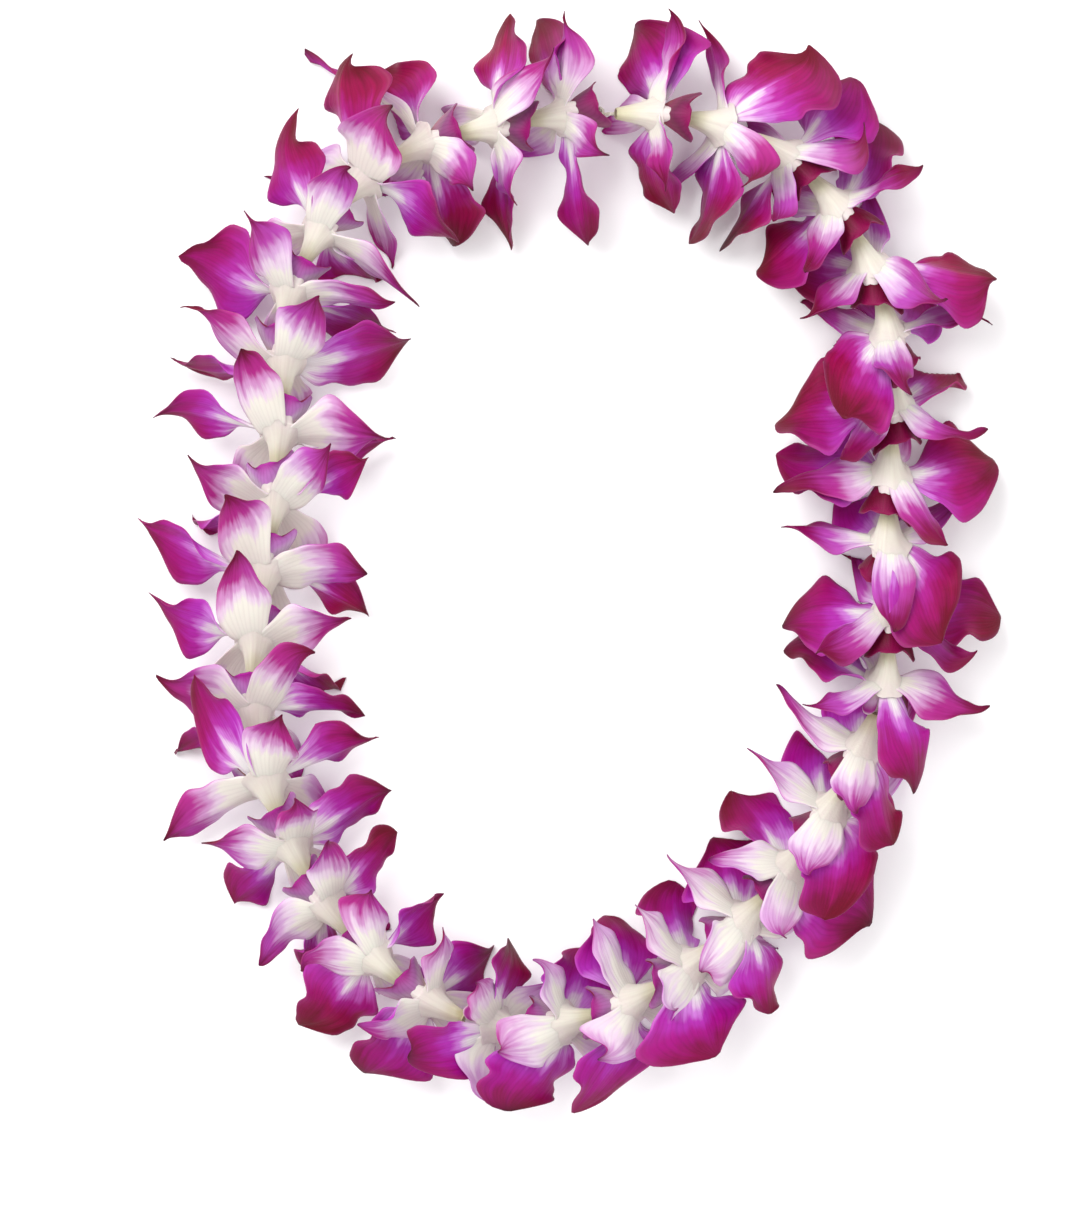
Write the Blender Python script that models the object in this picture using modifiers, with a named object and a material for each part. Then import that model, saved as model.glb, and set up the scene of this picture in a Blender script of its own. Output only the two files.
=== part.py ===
"""An orchid lei: one strand of blooms threaded on a cord, laid out as a loop on a flat surface.

Metres, +Z up, the surface at z = 0 and the loop's box centred on the origin. Distances along the
cord run clockwise as seen from above, the way that every bloom opens.

Each bloom is shaped in its own coordinates: `out` across the cord, away from the middle of the
loop, `up`, and `layer`, its own share of the strand. A bowl-shaped rule, the same for
all blooms, turns them into a place along the cord, so neighbours nest and never cross.
"""

import math
import random

import bpy
import bmesh
from mathutils import Vector

# Driving dimensions
STRAND_LENGTH = 0.914
BLOOM_COUNT = 36
KNOT_ROOM = 0.008
CORD_HEIGHT = 0.021
CORD_RADIUS = 0.0006
KNOT_SIZE = 0.0008
KNOT_STEPS = 18
# The hole is four-sided, so its corners lie further out than the clearance of its sides
BORE_RADIUS = (CORD_RADIUS + 0.00035) * math.sqrt(2)
PETAL_LENGTH = 0.040
PETAL_WIDTH = 0.0305
SEPAL_LENGTH = 0.039
SEPAL_WIDTH = 0.0152
LIP_LENGTH = 0.0105
LIP_WIDTH = 0.0195
BLADE_THICKNESS = 0.0008
BASE_RADIUS = 0.0058
CHIN = 0.0016
COLUMN_RADIUS = 0.0026
COLUMN_FOOT = 0.0030
COLUMN_TIP = 0.0052
# How far from the cord the tepals and the lip start, inside the base
SEPAL_ROOT = 0.0036
PETAL_ROOT = 0.0034
LIP_ROOT = 0.0030
# The middle of the petals' box on the route's own axes, which becomes the origin
BOX_MIDDLE = (0.0010, 0.0005)

# The cord's route seen from above, clockwise from the top; its length is then made STRAND_LENGTH
ROUTE = (
    (0.008, 0.162),
    (0.044, 0.161),
    (0.077, 0.149),
    (0.100, 0.125),
    (0.114, 0.095),
    (0.117, 0.058),
    (0.116, 0.022),
    (0.117, -0.014),
    (0.114, -0.046),
    (0.102, -0.078),
    (0.082, -0.109),
    (0.055, -0.138),
    (0.026, -0.158),
    (-0.006, -0.168),
    (-0.039, -0.165),
    (-0.068, -0.145),
    (-0.091, -0.118),
    (-0.107, -0.085),
    (-0.114, -0.050),
    (-0.111, -0.014),
    (-0.106, 0.022),
    (-0.103, 0.058),
    (-0.102, 0.091),
    (-0.091, 0.118),
    (-0.073, 0.140),
    (-0.050, 0.152),
    (-0.021, 0.159),
)
ROUTE_STEPS = 720
ROUTE_SMOOTHING = 12

# How the blooms nest: the room kept free at each end of a bloom's layer, near the cord and far out
INNER_MARGIN = 0.0006
OUTER_MARGIN = 0.0018
OUTER_RADIUS = 0.010
# How far the blooms lean over, in degrees, how broad and how sharp their petals are and how long
# their tepals, at equal steps along the strand
LEANS = (42, 46, 52, 54, 54, 52, 52, 54, 54, 54, 50, 44)
BREADTHS = (1.08, 1.05, 1.05, 1.05, 1.0, 1.0, 0.95, 0.8, 0.68, 0.68, 0.85, 1.08)
SEPAL_BREADTHS = (1.0, 1.0, 1.0, 1.0, 1.15, 1.35, 1.3, 1.2, 1.35, 1.35, 1.2, 1.1)
SHARPNESS = (1.0, 0.9, 0.8, 0.8, 0.75, 0.7, 0.75, 1.1, 1.4, 1.4, 1.2, 1.0)
REACHES = (0.95, 0.95, 0.97, 0.98, 0.92, 0.86, 0.78, 0.88, 1.05, 1.08, 1.05, 1.0)
LEAN_RADIUS = 0.006
SWEEP = 0.24
FLOOR_CLEARANCE = BLADE_THICKNESS / 2
# Where the pieces lie in their bloom's layer, from its back at 0 to its front at 1
SEPAL_ROOT_LAYER = 0.52
SEPAL_TIP_LAYERS = (0.06, 0.42)
PETAL_ROOT_LAYER = 0.60
PETAL_TIP_LAYERS = (0.36, 0.92)
LIP_LAYERS = (0.62, 0.78)
COLUMN_LAYERS = (0.62, 0.90)
BASE_FRONT = 0.78

# Width along a blade, as (share of the length, share of the width)
PETAL_OUTLINE = ((0.0, 0.17), (0.25, 0.64), (0.5, 1.0), (0.75, 0.77), (1.0, 0.06))
SEPAL_OUTLINE = ((0.0, 0.32), (0.38, 1.0), (0.76, 0.50), (1.0, 0.06))
LIP_OUTLINE = ((0.0, 0.30), (0.5, 0.95), (1.0, 0.20))
# Radius along the base and the column, as (share of the length, share of the radius)
BASE_OUTLINE = ((0.0, 0.36), (0.4, 0.70), (0.7, 1.3), (1.0, 0.45))
COLUMN_OUTLINE = ((0.0, 0.8), (1.0, 1.0))

# How far each bloom is turned on the cord from its top sepal up, in degrees, the inner side positive
TURNS = (
    (175, 20, 185, 170, 205, 128, 160, 190, 240, 175, 32, 225)
    + (216, 204, 222, 208, 196, 218, 35, 190, 178, 165, 175, 20)
    + (165, 205, 185, 150, 195, 170, 190, 215, -10, 170, 205, 160)
)
# The tepals by name, with their angles from the bloom's top
SEPALS = (("top sepal", 0), ("first sepal", 128), ("second sepal", -128))
PETALS = (("first petal", 74), ("second petal", -74))
# How much the tepals differ from bloom to bloom: length as a share, the rest in degrees and metres
LENGTH_SPREAD = (0.9, 1.1)
SEPAL_SPREAD = 15
SEPAL_BEND = 30
SEPAL_TWIST = 22
PETAL_SPREAD = 13
PETAL_BEND = 26
PETAL_TWIST = 18
PETAL_CUP = (-0.007, 0.008)
SEPAL_CUP = (-0.003, 0.005)
LIP_CUP = 0.007
# How the tepals arch along their length, in metres, and hook sideways near the tip, in degrees
PETAL_ARCH = (-0.004, 0.003)
SEPAL_ARCH = (-0.003, 0.004)
PETAL_HOOK = 46
SEPAL_HOOK = 66
HOOK_START = 0.62
TURN_SPREAD = 6
SIZE_SPREAD = 0.06
# Tepals that stand out: by bloom, how much longer and wider each is, and how far it is turned
STANDOUTS = {
    1: {"first petal": (1.0, 1.4, 0)},
    30: {"second petal": (1.05, 1.35, 8)},
    33: {"top sepal": (1.1, 1.8, 0)},
    34: {"first sepal": (1.3, 0.5, -58)},
    35: {"second sepal": (0.8, 1.2, 0), "second petal": (1.12, 0.55, -14)},
    36: {"first petal": (1.0, 1.25, 0), "second petal": (1.25, 0.75, 0)},
}
SEED = 1207
MIDLINE_STEPS = 24
POLE = 0.999


def clear_scene():
    for thing in list(bpy.data.objects):
        bpy.data.objects.remove(thing)


def blend(low, high, share):
    return low + (high - low) * share


def towards(heading, distance):
    return distance * math.cos(heading), distance * math.sin(heading)


def outline_width(outline, along):
    """The share of the full width at a share of the length."""
    for (start, before), (end, after) in zip(outline, outline[1:]):
        if along <= end:
            return blend(before, after, (along - start) / (end - start))
    return outline[-1][1]


def catmull_rom(a, b, c, d, share):
    return 0.5 * (
        2 * b
        + (c - a) * share
        + (2 * a - 5 * b + 4 * c - d) * share**2
        + (3 * b - a - 3 * c + d) * share**3
    )


class Route:
    """The closed line that the cord follows, at its own length."""

    def __init__(self):
        corners = [Vector((x, y, 0.0)) for x, y in ROUTE]
        count = len(corners)
        dense = []
        for index in range(count):
            four = [corners[(index + shift) % count] for shift in (-1, 0, 1, 2)]
            dense += [catmull_rom(*four, step / 40) for step in range(40)]
        points = self.even(dense)
        for _ in range(ROUTE_SMOOTHING):
            points = [
                (points[index - 3] + points[index] + points[(index + 3) % ROUTE_STEPS]) / 3
                for index in range(ROUTE_STEPS)
            ]
        points = self.even(points)
        length = sum((points[index] - points[index - 1]).length for index in range(ROUTE_STEPS))
        middle = Vector((*BOX_MIDDLE, 0.0))
        self.points = [point * (STRAND_LENGTH / length) - middle for point in points]

    @staticmethod
    def even(points):
        """The same closed line with its points at equal distances."""
        closed = points + [points[0]]
        marks = [0.0]
        for before, after in zip(closed, closed[1:]):
            marks.append(marks[-1] + (after - before).length)
        spaced = []
        index = 0
        for step in range(ROUTE_STEPS):
            target = marks[-1] * step / ROUTE_STEPS
            while marks[index + 1] < target:
                index += 1
            share = (target - marks[index]) / (marks[index + 1] - marks[index])
            spaced.append(closed[index].lerp(closed[index + 1], share))
        return spaced

    def point(self, distance):
        position = distance / STRAND_LENGTH * ROUTE_STEPS
        index = math.floor(position)
        here = self.points[index % ROUTE_STEPS]
        following = self.points[(index + 1) % ROUTE_STEPS]
        return here.lerp(following, position - index)

    def place(self, distance, out, up):
        """The world point at a distance along the cord, a way out from the loop and a way up."""
        reach = 0.002
        along = (self.point(distance + reach) - self.point(distance - reach)).normalized()
        outward = Vector((-along.y, along.x, 0.0))
        return self.point(distance) + outward * out + Vector((0.0, 0.0, CORD_HEIGHT + up))


def around(values, distance):
    """The value at a distance along the strand, from values at equal steps all the way round."""
    position = distance / STRAND_LENGTH * len(values)
    index = math.floor(position)
    here, following = values[index % len(values)], values[(index + 1) % len(values)]
    share = position - index
    return blend(here, following, share * share * (3 - 2 * share))


def bowl(distance, out, up):
    """How far forward along the cord the layer at a distance lies at this place across the cord."""
    radius = math.hypot(out, up)
    lean = math.tan(math.radians(around(LEANS, distance)))
    return lean * up * radius / (radius + LEAN_RADIUS) + SWEEP * radius


def slope(distance, out, up, across, above):
    """How steeply the bowl rises in one direction of the cross section."""
    reach = 0.0005
    ahead = bowl(distance, out + across * reach, up + above * reach)
    behind = bowl(distance, out - across * reach, up - above * reach)
    return (ahead - behind) / (2 * reach)


class Blade:
    """A petal, a sepal or the lip: a strip that follows its bloom's bowl outwards."""

    def __init__(
        self, start, heading, root, length, width, outline, sharpness, bend, hook, layers, arch, cups, twist
    ):
        self.start = start
        self.heading = heading
        self.root = root
        self.length = length
        self.width = width
        self.outline = outline
        self.sharpness = sharpness
        self.bend = bend
        self.hook = hook
        self.layers = layers
        self.arch = arch
        self.cups = cups
        self.twist = twist
        self.midline = self.march()

    def march(self):
        """Places along the blade, each as out, up and heading, at equal steps of true length."""
        out = self.root * math.cos(self.heading)
        up = self.root * math.sin(self.heading)
        heading = self.heading
        places = [(out, up, heading)]
        step = self.length / MIDLINE_STEPS
        for number in range(MIDLINE_STEPS):
            across, above = math.cos(heading), math.sin(heading)
            advance = step / math.hypot(1.0, slope(self.start, out, up, across, above))
            out += across * advance
            up += above * advance
            late = max(number / MIDLINE_STEPS - HOOK_START, 0.0) / (1 - HOOK_START)
            heading += (self.bend + 2 * self.hook * late / (1 - HOOK_START)) / MIDLINE_STEPS
            places.append((out, up, heading))
        return places

    def local(self, along, across):
        """Out, up and layer of the point at shares along the blade and across it, from -1 to 1."""
        position = along * MIDLINE_STEPS
        index = min(int(position), MIDLINE_STEPS - 1)
        here, following = self.midline[index], self.midline[index + 1]
        out, up, heading = (blend(a, b, position - index) for a, b in zip(here, following))
        half = self.width / 2 * outline_width(self.outline, along) ** self.sharpness * across
        side, rise = -math.sin(heading), math.cos(heading)
        reach = half / math.hypot(1.0, slope(self.start, out, up, side, rise))
        layer = blend(*self.layers, along**1.5) + self.arch * math.sin(math.pi * along**2)
        cup = self.cups[0] if across < 0 else self.cups[1]
        layer += cup * abs(across) ** 1.5 * math.sin(math.pi * min(along * 1.1, 1.0))
        layer += half * math.tan(self.twist) * along
        return out + side * reach, up + rise * reach, layer


def new_object(name, mesh, collection):
    made = bpy.data.objects.new(name, mesh)
    collection.objects.link(made)
    return made


class Bloom:
    """One bloom: its place on the strand, its pieces and the way that it is turned on the cord."""

    def __init__(self, index, route, pitch):
        self.index = index
        self.route = route
        self.start = KNOT_ROOM + index * pitch
        self.pitch = pitch
        self.draw = random.Random(SEED + index)
        self.turn = math.radians(TURNS[index] + self.spread(TURN_SPREAD))
        self.size = 1 + self.spread(SIZE_SPREAD)
        self.breadth = self.size * around(BREADTHS, self.start)
        self.sepal_breadth = self.size * around(SEPAL_BREADTHS, self.start)
        self.sharpness = around(SHARPNESS, self.start)
        self.reach = self.size * around(REACHES, self.start)

    def spread(self, most):
        return self.draw.uniform(-most, most)

    def world(self, out, up, layer):
        """The world point of a place in the bloom, kept in its layer and above the surface."""
        up = max(up, FLOOR_CLEARANCE - CORD_HEIGHT)
        margin = blend(INNER_MARGIN, OUTER_MARGIN, min(math.hypot(out, up) / OUTER_RADIUS, 1.0))
        distance = self.start + min(max(layer, margin), self.pitch - margin)
        return self.route.place(distance + bowl(distance, out, up), out, up)

    def blades(self):
        """The five tepals, the back layer first."""
        made = {}
        for name, angle in SEPALS:
            made[name] = dict(
                heading=angle + self.spread(SEPAL_SPREAD),
                root=SEPAL_ROOT,
                length=SEPAL_LENGTH * self.reach * self.draw.uniform(*LENGTH_SPREAD),
                width=SEPAL_WIDTH * self.sepal_breadth,
                outline=SEPAL_OUTLINE,
                sharpness=1.0,
                bend=self.spread(SEPAL_BEND),
                hook=self.spread(SEPAL_HOOK),
                layers=(SEPAL_ROOT_LAYER, self.draw.uniform(*SEPAL_TIP_LAYERS)),
                arch=self.draw.uniform(*SEPAL_ARCH),
                cups=(self.draw.uniform(*SEPAL_CUP), self.draw.uniform(*SEPAL_CUP)),
                twist=self.spread(SEPAL_TWIST),
            )
        for name, angle in PETALS:
            made[name] = dict(
                heading=angle + self.spread(PETAL_SPREAD),
                root=PETAL_ROOT,
                length=PETAL_LENGTH * self.reach * self.draw.uniform(*LENGTH_SPREAD),
                width=PETAL_WIDTH * self.breadth,
                outline=PETAL_OUTLINE,
                sharpness=self.sharpness,
                bend=self.spread(PETAL_BEND),
                hook=self.spread(PETAL_HOOK),
                layers=(PETAL_ROOT_LAYER, self.draw.uniform(*PETAL_TIP_LAYERS)),
                arch=self.draw.uniform(*PETAL_ARCH),
                cups=(self.draw.uniform(*PETAL_CUP), self.draw.uniform(*PETAL_CUP)),
                twist=self.spread(PETAL_TWIST),
            )
        for name, (longer, wider, turned) in STANDOUTS.get(self.index + 1, {}).items():
            made[name]["length"] *= longer
            made[name]["width"] *= wider
            made[name]["heading"] += turned
        return [self.blade(**shape) for shape in made.values()]

    def lip(self):
        return self.blade(
            heading=180,
            root=LIP_ROOT,
            length=LIP_LENGTH * self.size,
            width=LIP_WIDTH * self.size,
            outline=LIP_OUTLINE,
            sharpness=1.0,
            bend=0,
            hook=0,
            layers=LIP_LAYERS,
            arch=0.0,
            cups=(LIP_CUP, LIP_CUP),
            twist=0,
        )

    def blade(
        self, heading, root, length, width, outline, sharpness, bend, hook, layers, arch, cups, twist
    ):
        """A blade from angles in degrees, the heading from the bloom's top, and layers as shares."""
        return Blade(
            start=self.start,
            heading=math.pi / 2 + self.turn + math.radians(heading),
            root=root,
            length=length,
            width=width,
            outline=outline,
            sharpness=sharpness,
            bend=math.radians(bend),
            hook=math.radians(hook),
            layers=tuple(self.pitch * share for share in layers),
            arch=arch,
            cups=cups,
            twist=math.radians(twist),
        )

    def sheet(self, blade, collection):
        """A blade as a grid bent to its shape and thickened, split alike on both faces."""
        grid = bmesh.new()
        columns = 1 if blade.outline is SEPAL_OUTLINE else 2
        rows = len(blade.outline) - 1
        bmesh.ops.create_grid(grid, x_segments=columns, y_segments=rows, size=1.0)
        for point in grid.verts:
            across, along = point.co.x, (point.co.y + 1) / 2
            point.co = self.world(*blade.local(along, across))
        bmesh.ops.triangulate(grid, faces=grid.faces)
        mesh = bpy.data.meshes.new("blade")
        grid.to_mesh(mesh)
        grid.free()
        made = new_object("blade", mesh, collection)
        solid = made.modifiers.new("thickness", "SOLIDIFY")
        solid.thickness = BLADE_THICKNESS
        solid.offset = 0.0
        return made

    def spindle(self, name, collection, sides, rings, layers, axis, radii, outline):
        """A closed tapered body along the strand, such as the bloom's base or its column."""
        body = bmesh.new()
        bmesh.ops.create_uvsphere(body, u_segments=sides, v_segments=rings, radius=1.0)
        for point in body.verts:
            share = (1 - point.co.z) / 2
            angle = math.atan2(point.co.y, point.co.x) + self.turn
            radius = radii * outline_width(outline, share)
            if abs(point.co.z) > POLE:
                radius = 0.0
            out = blend(axis[0][0], axis[1][0], share) + radius * math.cos(angle)
            up = blend(axis[0][1], axis[1][1], share) + radius * math.sin(angle)
            point.co = self.world(out, up, blend(*layers, share))
        bmesh.ops.triangulate(body, faces=body.faces)
        bmesh.ops.recalc_face_normals(body, faces=body.faces)
        mesh = bpy.data.meshes.new(name)
        body.to_mesh(mesh)
        body.free()
        return new_object(name, mesh, collection)

    def base(self, name, collection):
        """The ovary and the chin behind the tepals, white and conical, on the cord."""
        lip_side = self.turn - math.pi / 2
        return self.spindle(
            name,
            collection,
            sides=5,
            rings=3,
            layers=(INNER_MARGIN, self.pitch * BASE_FRONT),
            axis=((0.0, 0.0), towards(lip_side, CHIN)),
            radii=BASE_RADIUS * self.size,
            outline=BASE_OUTLINE,
        )

    def column(self, collection):
        """The short arm over the throat, on the side away from the lip."""
        top = self.turn + math.pi / 2
        return self.spindle(
            "column",
            collection,
            sides=4,
            rings=2,
            layers=tuple(self.pitch * share for share in COLUMN_LAYERS),
            axis=(towards(top, COLUMN_FOOT), towards(top, COLUMN_TIP)),
            radii=COLUMN_RADIUS * self.size,
            outline=COLUMN_OUTLINE,
        )

    def build(self, collection, bore):
        """The bloom as one solid, with the cord's plain hole through it."""
        name = f"bloom_{self.index + 1:02d}"
        pieces = bpy.data.collections.new("pieces")
        bpy.context.scene.collection.children.link(pieces)
        for blade in [*self.blades(), self.lip()]:
            self.sheet(blade, pieces)
        self.column(pieces)
        bloom = self.base(name, collection)
        join = bloom.modifiers.new("join", "BOOLEAN")
        join.operation = "UNION"
        join.operand_type = "COLLECTION"
        join.collection = pieces
        join.solver = "MANIFOLD"
        cut = bloom.modifiers.new("cord hole", "BOOLEAN")
        cut.operation = "DIFFERENCE"
        cut.object = bore
        cut.solver = "MANIFOLD"
        apply_modifiers(bloom)
        for piece in list(pieces.objects):
            bpy.data.objects.remove(piece)
        bpy.data.collections.remove(pieces)
        bloom.data.materials.append(self.material(name))
        return bloom

    def material(self, name):
        """Magenta, a little redder or bluer from bloom to bloom."""
        colour = (
            blend(0.52, 0.64, self.draw.random()),
            blend(0.05, 0.16, self.draw.random()),
            blend(0.36, 0.52, self.draw.random()),
        )
        return plain_material(name, colour, 0.55)


def plain_material(name, colour, roughness):
    made = bpy.data.materials.new(name)
    made.use_nodes = True
    shader = made.node_tree.nodes["Principled BSDF"]
    shader.inputs["Base Color"].default_value = (*colour, 1.0)
    shader.inputs["Roughness"].default_value = roughness
    shader.inputs["Metallic"].default_value = 0.0
    return made


def apply_modifiers(thing):
    """Gives the object the mesh that its modifiers make, and drops them."""
    bpy.context.view_layer.update()
    graph = bpy.context.evaluated_depsgraph_get()
    before = thing.data
    thing.data = bpy.data.meshes.new_from_object(thing.evaluated_get(graph))
    thing.modifiers.clear()
    thing.data.name = thing.name
    bpy.data.meshes.remove(before)
    keep_outer_shell(thing.data)


def keep_outer_shell(mesh):
    """Fills hollows that joining sealed and drops loose scraps: only the largest shell stays."""
    body = bmesh.new()
    body.from_mesh(mesh)
    waiting = set(body.verts)
    shells = []
    while waiting:
        edge = [waiting.pop()]
        shell = set(edge)
        while edge:
            point = edge.pop()
            for link in point.link_edges:
                other = link.other_vert(point)
                if other in waiting:
                    waiting.remove(other)
                    shell.add(other)
                    edge.append(other)
        shells.append(shell)
    shells.sort(key=len)
    for shell in shells[:-1]:
        bmesh.ops.delete(body, geom=list(shell), context="VERTS")
    body.to_mesh(mesh)
    body.free()


def tube(name, points, radius, collection, bevel_resolution):
    """A closed ring of tube through the points, as a mesh."""
    curve = bpy.data.curves.new(name, "CURVE")
    curve.dimensions = "3D"
    curve.bevel_depth = radius
    curve.bevel_resolution = bevel_resolution
    line = curve.splines.new("POLY")
    line.points.add(len(points) - 1)
    for spot, point in zip(line.points, points):
        spot.co = (*point, 1.0)
    line.use_cyclic_u = True
    guide = new_object(name + "_guide", curve, collection)
    bpy.context.view_layer.update()
    graph = bpy.context.evaluated_depsgraph_get()
    mesh = bpy.data.meshes.new_from_object(guide.evaluated_get(graph))
    bpy.data.objects.remove(guide)
    shape = bmesh.new()
    shape.from_mesh(mesh)
    bmesh.ops.remove_doubles(shape, verts=shape.verts, dist=0.00001)
    bmesh.ops.recalc_face_normals(shape, faces=shape.faces)
    shape.to_mesh(mesh)
    shape.free()
    return new_object(name, mesh, collection)


def cord_points(route, pitch):
    """A point where each bloom starts and one in its middle."""
    marks = [KNOT_ROOM + pitch * half / 2 for half in range(2 * BLOOM_COUNT + 1)]
    return [route.place(mark, 0.0, 0.0) for mark in marks]


def knot_points(route):
    """A trefoil, the overhand knot that closes the loop."""
    points = []
    for index in range(KNOT_STEPS):
        turn = math.tau * index / KNOT_STEPS
        out = KNOT_SIZE * (math.sin(turn) + 2 * math.sin(2 * turn))
        up = KNOT_SIZE * (math.cos(turn) - 2 * math.cos(2 * turn))
        points.append(route.place(KNOT_ROOM / 2 - KNOT_SIZE * math.sin(3 * turn), out, up))
    return points


def main():
    clear_scene()
    collection = bpy.data.collections.new("orchid_lei")
    bpy.context.scene.collection.children.link(collection)
    cutters = bpy.data.collections.new("cutters")
    bpy.context.scene.collection.children.link(cutters)
    route = Route()
    pitch = (STRAND_LENGTH - KNOT_ROOM) / BLOOM_COUNT
    line = cord_points(route, pitch)
    bore = tube("cord_bore", line, BORE_RADIUS, cutters, bevel_resolution=0)
    bore.hide_render = True
    bore.display_type = "WIRE"
    for index in range(BLOOM_COUNT):
        Bloom(index, route, pitch).build(collection, bore)
    knot = tube("knot", knot_points(route), CORD_RADIUS, cutters, bevel_resolution=1)
    cord = tube("lei_string", line, CORD_RADIUS, collection, bevel_resolution=1)
    tie = cord.modifiers.new("knot", "BOOLEAN")
    tie.operation = "UNION"
    tie.object = knot
    tie.solver = "MANIFOLD"
    apply_modifiers(cord)
    bpy.data.objects.remove(knot)
    cord.data.materials.append(plain_material("lei_string", (0.85, 0.83, 0.78), 0.8))


main()
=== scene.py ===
"""Dresses the orchid lei: each bloom's solid is replaced by a finely shaped bloom of the same form.

Metres, +Z up. The driving dimensions, the route and the rule by which the blooms nest are those of
the solids, so every petal lies where its solid lies and no two blooms cross.
"""

import math
import random

import bpy
import numpy as np
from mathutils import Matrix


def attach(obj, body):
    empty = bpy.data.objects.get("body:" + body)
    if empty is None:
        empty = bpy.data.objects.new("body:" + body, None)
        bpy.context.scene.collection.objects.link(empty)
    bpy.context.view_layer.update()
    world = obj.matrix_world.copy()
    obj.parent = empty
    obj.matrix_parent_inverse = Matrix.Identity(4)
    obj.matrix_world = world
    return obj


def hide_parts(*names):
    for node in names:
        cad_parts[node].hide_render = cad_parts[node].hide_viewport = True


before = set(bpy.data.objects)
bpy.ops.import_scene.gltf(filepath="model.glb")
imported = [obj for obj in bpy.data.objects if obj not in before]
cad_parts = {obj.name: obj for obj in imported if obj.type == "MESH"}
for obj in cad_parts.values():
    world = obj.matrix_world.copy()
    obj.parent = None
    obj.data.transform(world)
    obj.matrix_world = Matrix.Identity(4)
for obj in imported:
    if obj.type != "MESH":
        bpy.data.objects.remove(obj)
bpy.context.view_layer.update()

# Driving dimensions, as in the solids
STRAND_LENGTH = 0.914
BLOOM_COUNT = 36
KNOT_ROOM = 0.008
CORD_HEIGHT = 0.021
PETAL_LENGTH = 0.040
PETAL_WIDTH = 0.0305
SEPAL_LENGTH = 0.039
SEPAL_WIDTH = 0.0152
LIP_LENGTH = 0.0105
LIP_WIDTH = 0.0195
BLADE_THICKNESS = 0.0008
BASE_RADIUS = 0.0058
CHIN = 0.0016
COLUMN_RADIUS = 0.0026
COLUMN_FOOT = 0.0030
COLUMN_TIP = 0.0052
SEPAL_ROOT = 0.0036
PETAL_ROOT = 0.0034
LIP_ROOT = 0.0030
BOX_MIDDLE = (0.0010, 0.0005)

# The cord's route seen from above, clockwise from the top, before it gets the strand's own length
ROUTE = (
    (0.008, 0.162),
    (0.044, 0.161),
    (0.077, 0.149),
    (0.100, 0.125),
    (0.114, 0.095),
    (0.117, 0.058),
    (0.116, 0.022),
    (0.117, -0.014),
    (0.114, -0.046),
    (0.102, -0.078),
    (0.082, -0.109),
    (0.055, -0.138),
    (0.026, -0.158),
    (-0.006, -0.168),
    (-0.039, -0.165),
    (-0.068, -0.145),
    (-0.091, -0.118),
    (-0.107, -0.085),
    (-0.114, -0.050),
    (-0.111, -0.014),
    (-0.106, 0.022),
    (-0.103, 0.058),
    (-0.102, 0.091),
    (-0.091, 0.118),
    (-0.073, 0.140),
    (-0.050, 0.152),
    (-0.021, 0.159),
)
CORNER_STEPS = 40
ROUTE_STEPS = 720
SMOOTHING_ROUNDS = 12
SMOOTHING_REACH = 3

# How the blooms nest
INNER_MARGIN = 0.0006
OUTER_MARGIN = 0.0018
OUTER_RADIUS = 0.010
LEAN_RADIUS = 0.006
SWEEP = 0.24
FLOOR_CLEARANCE = BLADE_THICKNESS / 2
# How far the blooms lean, in degrees, and how broad, pointed and long their tepals are, at equal
# steps along the strand
LEANS = (42, 46, 52, 54, 54, 52, 52, 54, 54, 54, 50, 44)
BREADTHS = (1.08, 1.05, 1.05, 1.05, 1.0, 1.0, 0.95, 0.8, 0.68, 0.68, 0.85, 1.08)
SEPAL_BREADTHS = (1.0, 1.0, 1.0, 1.0, 1.15, 1.35, 1.3, 1.2, 1.35, 1.35, 1.2, 1.1)
SHARPNESS = (1.0, 0.9, 0.8, 0.8, 0.75, 0.7, 0.75, 1.1, 1.4, 1.4, 1.2, 1.0)
REACHES = (0.95, 0.95, 0.97, 0.98, 0.92, 0.86, 0.78, 0.88, 1.05, 1.08, 1.05, 1.0)
# Where each piece lies in its bloom's layer of the strand, as shares of it
SEPAL_ROOT_LAYER = 0.52
SEPAL_TIP_LAYERS = (0.06, 0.42)
PETAL_ROOT_LAYER = 0.60
PETAL_TIP_LAYERS = (0.36, 0.92)
LIP_LAYERS = (0.62, 0.78)
COLUMN_LAYERS = (0.62, 0.90)
BASE_FRONT = 0.78
# How far each bloom is turned on the cord, in degrees, from its top sepal standing up
TURNS = (
    (175, 20, 185, 170, 205, 128, 160, 190, 240, 175, 32, 225)
    + (216, 204, 222, 208, 196, 218, 35, 190, 178, 165, 175, 20)
    + (165, 205, 185, 150, 195, 170, 190, 215, -10, 170, 205, 160)
)
SEPALS = (("top sepal", 0), ("first sepal", 128), ("second sepal", -128))
PETALS = (("first petal", 74), ("second petal", -74))
# How much the blooms and their tepals differ: angles in degrees, sizes as shares and cups in metres
TURN_SPREAD = 6
SIZE_SPREAD = 0.06
LENGTH_SPREAD = (0.9, 1.1)
SEPAL_SPREAD = 15
SEPAL_BEND = 30
SEPAL_TWIST = 22
PETAL_SPREAD = 13
PETAL_BEND = 26
PETAL_TWIST = 18
PETAL_CUP = (-0.007, 0.008)
SEPAL_CUP = (-0.003, 0.005)
LIP_CUP = 0.007
# How the tepals arch along their length, in metres, and hook sideways near the tip, in degrees
PETAL_ARCH = (-0.004, 0.003)
SEPAL_ARCH = (-0.003, 0.004)
PETAL_HOOK = 46
SEPAL_HOOK = 66
HOOK_START = 0.62
# How the layer and the cup grow along a tepal and across it
LAYER_GROWTH = 1.5
CUP_GROWTH = 1.5
CUP_REACH = 1.1
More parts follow.
